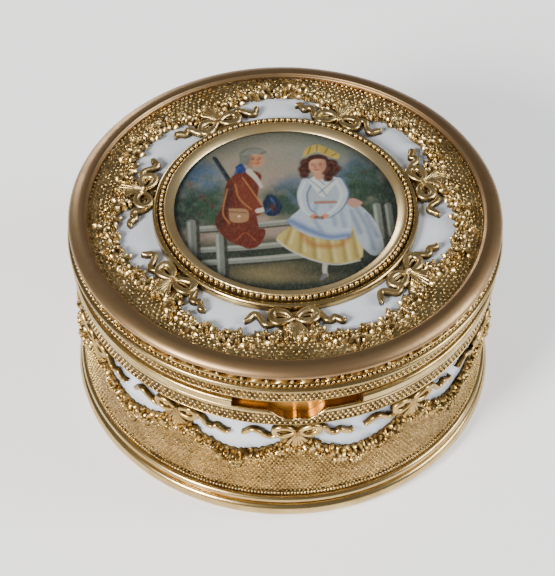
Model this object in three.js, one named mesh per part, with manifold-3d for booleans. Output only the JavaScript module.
// A round gilt-metal box with a hinged lid. Millimetres, +Z up, the origin at the middle of the foot's
// underside, -Y towards the thumb notch and +Y towards the hinge.
//
// The base is a drum: an inner shell carries an opaline band and, outside it, an openwork band of
// eleven bays, between a moulded foot and a beaded rim. A polished collar stands up inside the rim and
// the lid closes over it. The lid is a stack of turned rings under a smooth rim. The rim's lip holds an
// openwork plate of seven bays on an opaline disc, with a framed miniature in the middle.

import * as THREE from "three";
import { mergeVertices } from "three/addons/utils/BufferGeometryUtils.js";
import Module from "manifold-3d";

const wasm = await Module();
wasm.setup();

// ---------------------------------------------------------------- driving dimensions

const segments = 48; // facets round every turned piece
const gap = 0.1; // between two pieces that are soldered, cemented or pressed together
const closingClearance = 0.2; // between the collar and the lid that slides over it
const partingGap = 0.2; // between the closed lid and the base

// Base, from outside to inside
const openworkRadius = 36.9;
const openworkThickness = 0.9;
const opalineBandThickness = 0.6;
const shellThickness = 0.9;
const wallLiningThickness = 1.0;
const mouldingProjection = 1.1; // foot and lid mouldings stand this far out of the openwork

// Base, from bottom to top
const feltRecess = 0.2;
const feltThickness = 0.5;
const bottomPlateThickness = 1.0;
const floorPadThickness = 1.8;
const footHeight = 5.5;
const footBeadHeight = 0.8;
const wallHeight = 18.9;
const baseBeadBandHeight = 2.3;
const baseRimHeight = 1.1;
const collarRise = 3.2; // above the base's rim
const collarDepth = 4.6; // below the base's rim

// Lid, from bottom to top
const skirtHeight = 1.9;
const lidBeadBandHeight = 3.0;
const lidTorusHeight = 1.4;
const fineBeadHeight = 0.4;
const friezeHeight = 1.4;
const rimCapHeight = 1.7;
const rimLipThickness = 0.9;
const rimLipReach = 1.1; // how far the rim's lip reaches over the openwork plate
const lidWebThickness = 0.9;
const openworkPlateThickness = 0.55;
const opalineDiscThickness = 0.8;
const innerPlateThickness = 0.8;
const lidPadThickness = 1.7;
const retainingRingWidth = 1.0;

// Miniature, from the middle outwards
const sightRadius = 19.3; // the painting that shows inside the frame
const slipWidth = 1.8;
const bezelBeadWidth = 0.75;
const bezelTorusWidth = 1.1;
const bezelTorusHeight = 1.4;
const slipHeight = 1.95;
const bezelBeadHeight = 2.35;
const backingThickness = 0.3;
const paintingThickness = 0.25;
const glassThickness = 0.35;
const glassCrown = 0.4;
const glassSeat = 0.6; // how far the glass and painting run under the slip

// Ornament bays
const lidBays = 7;
const baseBays = 11;
const lidWindowDepth = 5.2; // from the bezel outwards
const baseWindowDepth = 8.4; // from the bead band downwards
const lidBowWidth = 6.6;
const baseBowWidth = 6.2;

// Thumb notch
const slotWidth = 22.4;
const dipWidth = 8.6;
const dipDepth = 2.0;

// Hinge
const barrelRadius = 1.1;
const pinRadius = 0.5;
const pinClearance = 0.08;
const hingeLength = 24;
const knuckleCount = 5;
const knuckleGap = 0.2;
const barrelClearance = 0.35;
const pinOverhang = 0.2;
const barrelFacets = 20;

// Edges of the turned rings
const ringProud = 0.2; // how far a rim or bead ring stands past the openwork
const mouldingProud = 0.5; // the same for the lid's fine beads and frieze
const friezeHollow = 0.4;
const rimEase = 0.4;
const skirtInset = 0.4; // of the skirt's roll from the lid's outer radius
const rollDepth = 0.7;
const rollSeat = 0.8;
const capInset = 0.3;
const capEase = 0.3;
const capShoulder = 1.4;
const footStep = 0.52; // height of the lower roll, of the foot's
const slipCrown = 0.4;
const slipLip = 0.2;
const bezelEase = 0.3;

// ---------------------------------------------------------------- places that follow from them

// Radii of the drum
const openworkInner = openworkRadius - openworkThickness;
const opalineOuter = openworkInner - gap;
const opalineInner = opalineOuter - opalineBandThickness;
const shellOuter = opalineInner - gap;
const shellInner = shellOuter - shellThickness;
const liningOuter = shellInner - gap;
const liningInner = liningOuter - wallLiningThickness;
const outerRadius = openworkRadius + mouldingProjection;

// Heights of the drum
const plateBottom = feltRecess + feltThickness + gap;
const plateTop = plateBottom + bottomPlateThickness;
const floorTop = plateTop + gap + floorPadThickness;
const footBeadBottom = footHeight + gap;
const wallBottom = footBeadBottom + footBeadHeight + gap;
const wallTop = wallBottom + wallHeight;
const baseBandBottom = wallTop + gap;
const baseBandTop = baseBandBottom + baseBeadBandHeight;
const baseRimBottom = baseBandTop + gap;
const baseRimTop = baseRimBottom + baseRimHeight;
const collarBottom = baseRimTop - collarDepth;
const collarTop = baseRimTop + collarRise;

// Heights of the lid
const lidBottom = baseRimTop + partingGap;
const skirtTop = lidBottom + skirtHeight;
const lidBandBottom = skirtTop + gap;
const lidBandTop = lidBandBottom + lidBeadBandHeight;
const torusBottom = lidBandTop + gap;
const torusTop = torusBottom + lidTorusHeight;
const fineBeadBottom = torusTop + gap;
const fineBeadTop = fineBeadBottom + fineBeadHeight;
const friezeBottom = fineBeadTop + gap;
const friezeTop = friezeBottom + friezeHeight;
const rimBottom = friezeTop + gap;
const rimTop = rimBottom + rimCapHeight;

// The lid's filling hangs under the rim's lip
const openworkPlateTop = rimTop - rimLipThickness - gap;
const openworkPlateBottom = openworkPlateTop - openworkPlateThickness;
const opalineDiscTop = openworkPlateBottom - gap;
const opalineDiscBottom = opalineDiscTop - opalineDiscThickness;
const innerPlateTop = opalineDiscBottom - gap;
const innerPlateBottom = innerPlateTop - innerPlateThickness;
const lidPadTop = innerPlateBottom - gap;
const lidPadBottom = lidPadTop - lidPadThickness;

// Radii of the lid
const lidInner = shellOuter + closingClearance;
const skirtWebOuter = openworkInner;
const lidBandInner = skirtWebOuter + gap;
const lidWebOuter = lidInner + lidWebThickness;
const ringInner = lidWebOuter + gap;
const fillingRadius = lidInner - gap;
const rimLipInner = fillingRadius - rimLipReach;
const lidPadRadius = fillingRadius - retainingRingWidth - gap;

// Radii and heights of the miniature
const slipOuter = sightRadius + slipWidth;
const bezelBeadInner = slipOuter + gap;
const bezelBeadOuter = bezelBeadInner + bezelBeadWidth;
const bezelRadius = bezelBeadOuter + bezelTorusWidth;
const pictureRadius = sightRadius + glassSeat;
const bezelBottom = openworkPlateBottom;
const slipTop = bezelBottom + slipHeight;
const bezelTorusTop = bezelBottom + bezelTorusHeight;
const bezelBeadTop = bezelBottom + bezelBeadHeight;
const bezelBeadBottom = bezelBottom + bezelTorusHeight / 2;
const backingTop = bezelBottom + backingThickness;
const paintingBottom = backingTop + gap;
const paintingTop = paintingBottom + paintingThickness;
const glassBottom = paintingTop + gap;
const glassTop = glassBottom + glassThickness;

// The hinge's axis lies along X, in the parting gap, with the barrel inside the outer radius
const hingeY = outerRadius - barrelRadius;
const hingeZ = (baseRimTop + lidBottom) / 2;
const leafInner = shellOuter + closingClearance + gap;
const boreRadius = pinRadius + pinClearance;
const baseLeafBottom = hingeZ - barrelRadius;
const baseSeatBottom = baseLeafBottom - gap;

// ---------------------------------------------------------------- materials

const gilt = new THREE.MeshStandardMaterial({ color: 0xb8924f, roughness: 0.32, metalness: 1 });
const paleGilt = new THREE.MeshStandardMaterial({ color: 0xc9a865, roughness: 0.22, metalness: 1 });
const brownGilt = new THREE.MeshStandardMaterial({ color: 0x8f7048, roughness: 0.38, metalness: 1 });
const opaline = new THREE.MeshStandardMaterial({ color: 0xe6ebf2, roughness: 0.18, metalness: 0 });
const velvet = new THREE.MeshStandardMaterial({ color: 0x5a1420, roughness: 0.95, metalness: 0 });
const felt = new THREE.MeshStandardMaterial({ color: 0x2f4a36, roughness: 0.95, metalness: 0 });
const card = new THREE.MeshStandardMaterial({ color: 0xc8b891, roughness: 0.9, metalness: 0 });
const paint = new THREE.MeshStandardMaterial({ color: 0x7f8a80, roughness: 0.5, metalness: 0 });
const glass = new THREE.MeshPhysicalMaterial({ color: 0xf2f5f5, roughness: 0.03, transmission: 0.9 });
const steel = new THREE.MeshStandardMaterial({ color: 0x9a9a98, roughness: 0.3, metalness: 1 });

// ---------------------------------------------------------------- tools

const base = new THREE.Group();
const lid = new THREE.Group();

// A named piece in one of the two groups.
function piece(name, group, geometry, material) {
  const mesh = new THREE.Mesh(geometry, material);
  mesh.name = name;
  group.add(mesh);
}

// A solid turned about Z from a profile of [radius, height] points that runs anticlockwise.
function turned(profile) {
  const points = profile.map(([radius, height]) => new THREE.Vector2(radius, height));
  if (profile.every(([radius]) => radius > 0)) points.push(points[0].clone());
  return new THREE.LatheGeometry(points, segments).rotateX(Math.PI / 2);
}

// A plain ring of rectangular section.
function ring(inner, outer, bottom, top) {
  return turned([[inner, bottom], [outer, bottom], [outer, top], [inner, top]]);
}

// A plain round plate.
function disc(radius, bottom, top) {
  return turned([[0, bottom], [radius, bottom], [radius, top], [0, top]]);
}

// Points of an arc in a profile, from angle to angle in degrees, squashed to two radii.
function arc(centreRadius, centreHeight, halfWidth, halfHeight, from, to, steps) {
  return Array.from({ length: steps + 1 }, (_, i) => {
    const angle = THREE.MathUtils.degToRad(from + ((to - from) * i) / steps);
    return [centreRadius + halfWidth * Math.cos(angle), centreHeight + halfHeight * Math.sin(angle)];
  });
}

function toSolid(geometry) {
  const plain = geometry.clone();
  plain.deleteAttribute("normal");
  plain.deleteAttribute("uv");
  const merged = mergeVertices(plain, 1e-4);
  return new wasm.Manifold(
    new wasm.Mesh({
      numProp: 3,
      vertProperties: new Float32Array(merged.attributes.position.array),
      triVerts: new Uint32Array(merged.index.array),
    }),
  );
}

function toGeometry(solid) {
  const mesh = solid.getMesh();
  const geometry = new THREE.BufferGeometry();
  geometry.setAttribute("position", new THREE.BufferAttribute(mesh.vertProperties.slice(), 3));
  geometry.setIndex(new THREE.BufferAttribute(mesh.triVerts.slice(), 1));
  geometry.computeVertexNormals();
  return geometry;
}

// The first geometry with the others cut out of it.
function cut(geometry, ...tools) {
  return toGeometry(tools.reduce((solid, tool) => solid.subtract(toSolid(tool)), toSolid(geometry)));
}

// A block given by its two corners.
function block([x0, y0, z0], [x1, y1, z1]) {
  return new THREE.BoxGeometry(x1 - x0, y1 - y0, z1 - z0).translate(
    (x0 + x1) / 2,
    (y0 + y1) / 2,
    (z0 + z1) / 2,
  );
}

// A round bar along X.
function barAlongX(radius, from, to, y, z) {
  return new THREE.CylinderGeometry(radius, radius, to - from, barrelFacets)
    .rotateZ(Math.PI / 2)
    .translate((from + to) / 2, y, z);
}

// An outline in X and Z, extruded through the front wall of the box.
function throughFront(shape) {
  const depth = outerRadius;
  return new THREE.ExtrudeGeometry(shape, { depth, bevelEnabled: false, curveSegments: 6 })
    .rotateX(Math.PI / 2)
    .translate(0, -openworkInner * Math.SQRT1_2, 0);
}

// ---------------------------------------------------------------- ornament

// Half the angle that a bay's window spans, between the bows at its two ends.
function windowHalfAngle(bays, bowWidth, radius) {
  return Math.PI / bays - bowWidth / 2 / radius;
}

// The lid's windows open towards the bezel. Each is a crescent whose outer side follows the swag.
function lidWindow(bay) {
  const half = windowHalfAngle(lidBays, lidBowWidth, bezelRadius);
  const middle = -Math.PI / 2 + ((bay + 0.5) * 2 * Math.PI) / lidBays;
  const inner = bezelRadius - slipWidth;
  const steps = 8;
  const shape = new THREE.Shape();
  shape.moveTo(inner * Math.cos(middle - half), inner * Math.sin(middle - half));
  for (let i = 0; i <= steps; i++) {
    const share = (2 * i) / steps - 1;
    const radius = bezelRadius + lidWindowDepth * Math.cos((share * Math.PI) / 2) ** 0.6;
    shape.lineTo(radius * Math.cos(middle + share * half), radius * Math.sin(middle + share * half));
  }
  shape.lineTo(inner * Math.cos(middle + half), inner * Math.sin(middle + half));
  return new THREE.ExtrudeGeometry(shape, { depth: 2 * openworkPlateThickness, bevelEnabled: false })
    .translate(0, 0, openworkPlateBottom - openworkPlateThickness / 2);
}

// The base's windows open towards the bead band. Each hangs down in the middle like a swag.
function baseWindow(bay) {
  const half = windowHalfAngle(baseBays, baseBowWidth, openworkRadius) * openworkRadius;
  const middle = -Math.PI / 2 + ((bay + 0.5) * 2 * Math.PI) / baseBays;
  const above = wallTop + gap / 2;
  const shape = new THREE.Shape();
  const steps = 8;
  shape.moveTo(-half, above);
  for (let i = 0; i <= steps; i++) {
    const share = (2 * i) / steps - 1;
    const drop = baseWindowDepth * Math.cos((share * Math.PI) / 2) ** 0.6;
    shape.lineTo(share * half, wallTop - drop);
  }
  shape.lineTo(half, above);
  return new THREE.ExtrudeGeometry(shape, { depth: outerRadius / 2, bevelEnabled: false })
    .rotateX(Math.PI / 2)
    .translate(0, -openworkInner * 0.8, 0)
    .rotateZ(middle + Math.PI / 2);
}

// ---------------------------------------------------------------- notches

// The dip in the base's rim: two ogee shoulders that run down to a shallow point.
function thumbDip() {
  const half = dipWidth / 2;
  const above = baseRimTop + gap;
  const bottom = baseRimTop - dipDepth;
  const shape = new THREE.Shape();
  shape.moveTo(-half * 1.6, above);
  shape.lineTo(-half * 1.6, baseRimTop);
  shape.bezierCurveTo(-half, baseRimTop, -half * 0.7, bottom, -half * 0.35, bottom);
  shape.quadraticCurveTo(-half * 0.1, bottom, 0, bottom + dipDepth * 0.15);
  shape.quadraticCurveTo(half * 0.1, bottom, half * 0.35, bottom);
  shape.bezierCurveTo(half * 0.7, bottom, half, baseRimTop, half * 1.6, baseRimTop);
  shape.lineTo(half * 1.6, above);
  return throughFront(shape);
}

// The straight-ended slot in the lid's skirt, above the dip.
function skirtSlot() {
  const half = slotWidth / 2;
  return block([-half, -outerRadius - gap, lidBottom - gap], [half, -lidInner / 2, skirtTop + gap / 2]);
}

// The seat cut for the hinge, through the back of one ring.
function hingeSeat(bottom, top) {
  const half = hingeLength / 2 + barrelClearance;
  return block([-half, openworkInner / 2, bottom], [half, outerRadius + gap, top]);
}

// ---------------------------------------------------------------- base

function addFoot() {
  const inner = shellInner - gap;
  const lower = footHeight * footStep;
  const flat = outerRadius - 0.8;
  const lowerRoll = arc(flat, lower / 2, 0.8, lower / 2, -90, 90, 4);
  const upperMiddle = (lower + footHeight) / 2;
  const upperRoll = arc(flat - 0.3, upperMiddle, 0.75, (footHeight - lower) / 2, -60, 90, 3);
  const seat = liningOuter - 2 * wallLiningThickness;
  piece(
    "foot_ring",
    base,
    turned([
      [inner + gap, 0],
      ...lowerRoll,
      ...upperRoll,
      [shellOuter + gap, footHeight],
      [shellOuter + gap, plateBottom - gap],
      [seat, plateBottom - gap],
      [seat, feltRecess],
      [inner, feltRecess],
    ]),
    gilt,
  );
  const beadOuter = openworkRadius + ringProud;
  piece(
    "foot_bead_ring",
    base,
    turned([
      [shellOuter + gap, footBeadBottom],
      [beadOuter - footBeadHeight / 2, footBeadBottom],
      [beadOuter, footBeadBottom + footBeadHeight / 2],
      [beadOuter - footBeadHeight / 2, footBeadBottom + footBeadHeight],
      [shellOuter + gap, footBeadBottom + footBeadHeight],
    ]),
    gilt,
  );
  piece("bottom_felt", base, disc(seat - gap, feltRecess, feltRecess + feltThickness), felt);
  piece("bottom_plate", base, disc(shellOuter, plateBottom, plateTop), gilt);
}

function addWall() {
  const windows = Array.from({ length: baseBays }, (_, bay) => baseWindow(bay));
  piece("base_inner_shell", base, ring(shellInner, shellOuter, plateTop + gap, collarBottom - gap), gilt);
  piece("base_opaline_band", base, ring(opalineInner, opalineOuter, wallBottom, wallTop), opaline);
  piece(
    "base_openwork_band",
    base,
    cut(ring(openworkInner, openworkRadius, wallBottom, wallTop), ...windows),
    gilt,
  );
  piece("wall_lining", base, ring(liningInner, liningOuter, plateTop + gap, baseBandBottom), velvet);
  piece("floor_pad", base, disc(liningInner - gap, plateTop + gap, floorTop), velvet);
}

function addBaseRim() {
  const bandRing = ring(openworkInner, openworkRadius, baseBandBottom, baseBandTop);
  const seat = hingeSeat(baseSeatBottom, baseRimTop + gap);
  piece("base_bead_band", base, cut(bandRing, thumbDip(), seat), gilt);
  const rimOuter = openworkRadius + ringProud;
  const webOuter = openworkInner - gap;
  const rim = turned([
    [opalineInner, baseBandBottom],
    [webOuter, baseBandBottom],
    [webOuter, baseRimBottom],
    [openworkRadius, baseRimBottom],
    [rimOuter, baseRimBottom + rimEase],
    [rimOuter, baseRimTop - rimEase],
    [openworkRadius, baseRimTop],
    [opalineInner, baseRimTop],
  ]);
  piece("base_rim_ring", base, cut(rim, thumbDip(), seat), gilt);
  piece("inner_collar", base, ring(shellInner, shellOuter, collarBottom, collarTop), paleGilt);
}

// ---------------------------------------------------------------- lid

function addLidMouldings() {
  const skirtRadius = outerRadius - skirtInset;
  const torusMiddle = (torusBottom + torusTop) / 2;
  const fineBeads = openworkRadius + mouldingProud;
  const skirt = turned([
    [lidInner, lidBottom],
    [skirtRadius - rollSeat, lidBottom],
    ...arc(skirtRadius - rollDepth, (lidBottom + skirtTop) / 2, rollDepth, skirtHeight / 2, -60, 60, 3),
    [skirtRadius - rollSeat, skirtTop],
    [skirtWebOuter, skirtTop],
    [skirtWebOuter, lidBandTop],
    [lidInner, lidBandTop],
  ]);
  piece("lid_skirt_ring", lid, cut(skirt, skirtSlot(), hingeSeat(lidBottom - gap, skirtTop)), gilt);
  piece("lid_bead_band", lid, ring(lidBandInner, openworkRadius, lidBandBottom, lidBandTop), gilt);
  piece(
    "lid_torus_ring",
    lid,
    turned([
      [ringInner, torusBottom],
      ...arc(outerRadius - rollSeat, torusMiddle, rollDepth, lidTorusHeight / 2, -80, 80, 4),
      [ringInner, torusTop],
    ]),
    paleGilt,
  );
  piece("lid_fine_bead_ring", lid, ring(ringInner, fineBeads, fineBeadBottom, fineBeadTop), gilt);
  piece(
    "leaf_frieze_ring",
    lid,
    turned([
      [ringInner, friezeBottom],
      [fineBeads, friezeBottom],
      [fineBeads - friezeHollow, (friezeBottom + friezeTop) / 2],
      [fineBeads, friezeTop],
      [ringInner, friezeTop],
    ]),
    gilt,
  );
}

function addLidRim() {
  const lipBottom = rimTop - rimLipThickness;
  const crest = (rimLipInner + lidInner) / 2;
  piece(
    "lid_rim",
    lid,
    turned([
      [lidInner, torusBottom],
      [lidWebOuter, torusBottom],
      [lidWebOuter, rimBottom],
      [outerRadius - capInset - capEase, rimBottom],
      [outerRadius - capInset, rimBottom + rimCapHeight * 0.22],
      [outerRadius - capInset - capEase, rimBottom + rimCapHeight * 0.55],
      [outerRadius - capShoulder, rimTop - 0.2],
      [crest + 0.5, rimTop],
      [crest - 0.3, rimTop - 0.05],
      [rimLipInner, rimTop - 0.4],
      [rimLipInner, lipBottom],
      [lidInner, lipBottom],
    ]),
    brownGilt,
  );
}

function addLidFilling() {
  const windows = Array.from({ length: lidBays }, (_, bay) => lidWindow(bay));
  const plate = ring(bezelRadius + gap, fillingRadius, openworkPlateBottom, openworkPlateTop);
  piece("lid_openwork_plate", lid, cut(plate, ...windows), gilt);
  piece("lid_opaline_disc", lid, disc(fillingRadius, opalineDiscBottom, opalineDiscTop), opaline);
  piece("lid_inner_plate", lid, disc(fillingRadius, innerPlateBottom, innerPlateTop), gilt);
  const retainer = ring(lidPadRadius + gap, fillingRadius, lidPadBottom, lidPadTop);
  piece("lid_retaining_ring", lid, retainer, paleGilt);
  piece("lid_lining_pad", lid, disc(lidPadRadius, lidPadBottom, lidPadTop), velvet);
}

function addMiniature() {
  piece("miniature_backing", lid, disc(pictureRadius, bezelBottom, backingTop), card);
  piece("miniature_painting", lid, disc(pictureRadius, paintingBottom, paintingTop), paint);
  piece(
    "miniature_glass",
    lid,
    turned([
      [0, glassBottom],
      [pictureRadius, glassBottom],
      [pictureRadius, glassBottom + glassThickness / 2],
      [sightRadius * 0.8, glassTop + glassCrown * 0.36],
      [sightRadius * 0.4, glassTop + glassCrown * 0.84],
      [0, glassTop + glassCrown],
    ]),
    glass,
  );
  const pocketRadius = pictureRadius + gap;
  const slipBottom = glassTop + gap;
  piece(
    "bezel_slip",
    lid,
    turned([
      [pocketRadius, bezelBottom],
      [slipOuter, bezelBottom],
      [slipOuter, slipTop],
      [slipOuter - slipCrown, slipTop],
      [sightRadius, slipBottom + slipLip],
      [sightRadius, slipBottom],
      [pocketRadius, slipBottom],
    ]),
    paleGilt,
  );
  const beads = ring(bezelBeadInner, bezelBeadOuter, bezelBeadBottom, bezelBeadTop);
  piece("bezel_bead_ring", lid, beads, gilt);
  const torusInner = bezelBeadOuter + gap;
  piece(
    "bezel_ring",
    lid,
    turned([
      [bezelBeadInner, bezelBottom],
      [bezelRadius, bezelBottom],
      [bezelRadius, bezelBottom + bezelTorusHeight * 0.6],
      [bezelRadius - bezelEase, bezelTorusTop],
      [torusInner + 0.2, bezelTorusTop],
      [torusInner, bezelTorusTop - bezelEase],
      [torusInner, bezelBeadBottom - gap],
      [bezelBeadInner, bezelBeadBottom - gap],
    ]),
    gilt,
  );
}

// ---------------------------------------------------------------- hinge

// The knuckles alternate: even ones belong to the base, odd ones to the lid.
function knuckleSpan(index) {
  const pitch = hingeLength / knuckleCount;
  const start = -hingeLength / 2 + index * pitch;
  return [start + knuckleGap / 2, start + pitch - knuckleGap / 2];
}

// A leaf with its knuckles: a bar joins them, cut clear of the other leaf's knuckles, and bored through.
function hingeLeaf(ownsKnuckle, bottom, top) {
  const half = hingeLength / 2;
  let leaf = toSolid(block([-half, leafInner, bottom], [half, hingeY, top]));
  for (let i = 0; i < knuckleCount; i++) {
    const [from, to] = knuckleSpan(i);
    if (ownsKnuckle(i)) continue;
    const clear = barrelRadius + barrelClearance;
    const room = barAlongX(clear, from - knuckleGap, to + knuckleGap, hingeY, hingeZ);
    leaf = leaf.subtract(toSolid(room));
  }
  for (let i = 0; i < knuckleCount; i++) {
    const [from, to] = knuckleSpan(i);
    if (ownsKnuckle(i)) leaf = leaf.add(toSolid(barAlongX(barrelRadius, from, to, hingeY, hingeZ)));
  }
  const bore = barAlongX(boreRadius, -hingeLength, hingeLength, hingeY, hingeZ);
  return toGeometry(leaf.subtract(toSolid(bore)));
}

function addHinge() {
  const lidLeafTop = skirtTop - gap;
  const baseLeaf = hingeLeaf((i) => i % 2 === 0, baseLeafBottom, hingeZ - barrelClearance);
  const lidLeaf = hingeLeaf((i) => i % 2 === 1, hingeZ + barrelClearance, lidLeafTop);
  piece("hinge_base_leaf", base, baseLeaf, paleGilt);
  piece("hinge_lid_leaf", lid, lidLeaf, paleGilt);
  const pinHalf = hingeLength / 2 + pinOverhang;
  piece("hinge_pin", base, barAlongX(pinRadius, -pinHalf, pinHalf, hingeY, hingeZ), steel);
}

addFoot();
addWall();
addBaseRim();
addLidMouldings();
addLidRim();
addLidFilling();
addMiniature();
addHinge();

const box = new THREE.Group();
box.add(base, lid);
export default box;
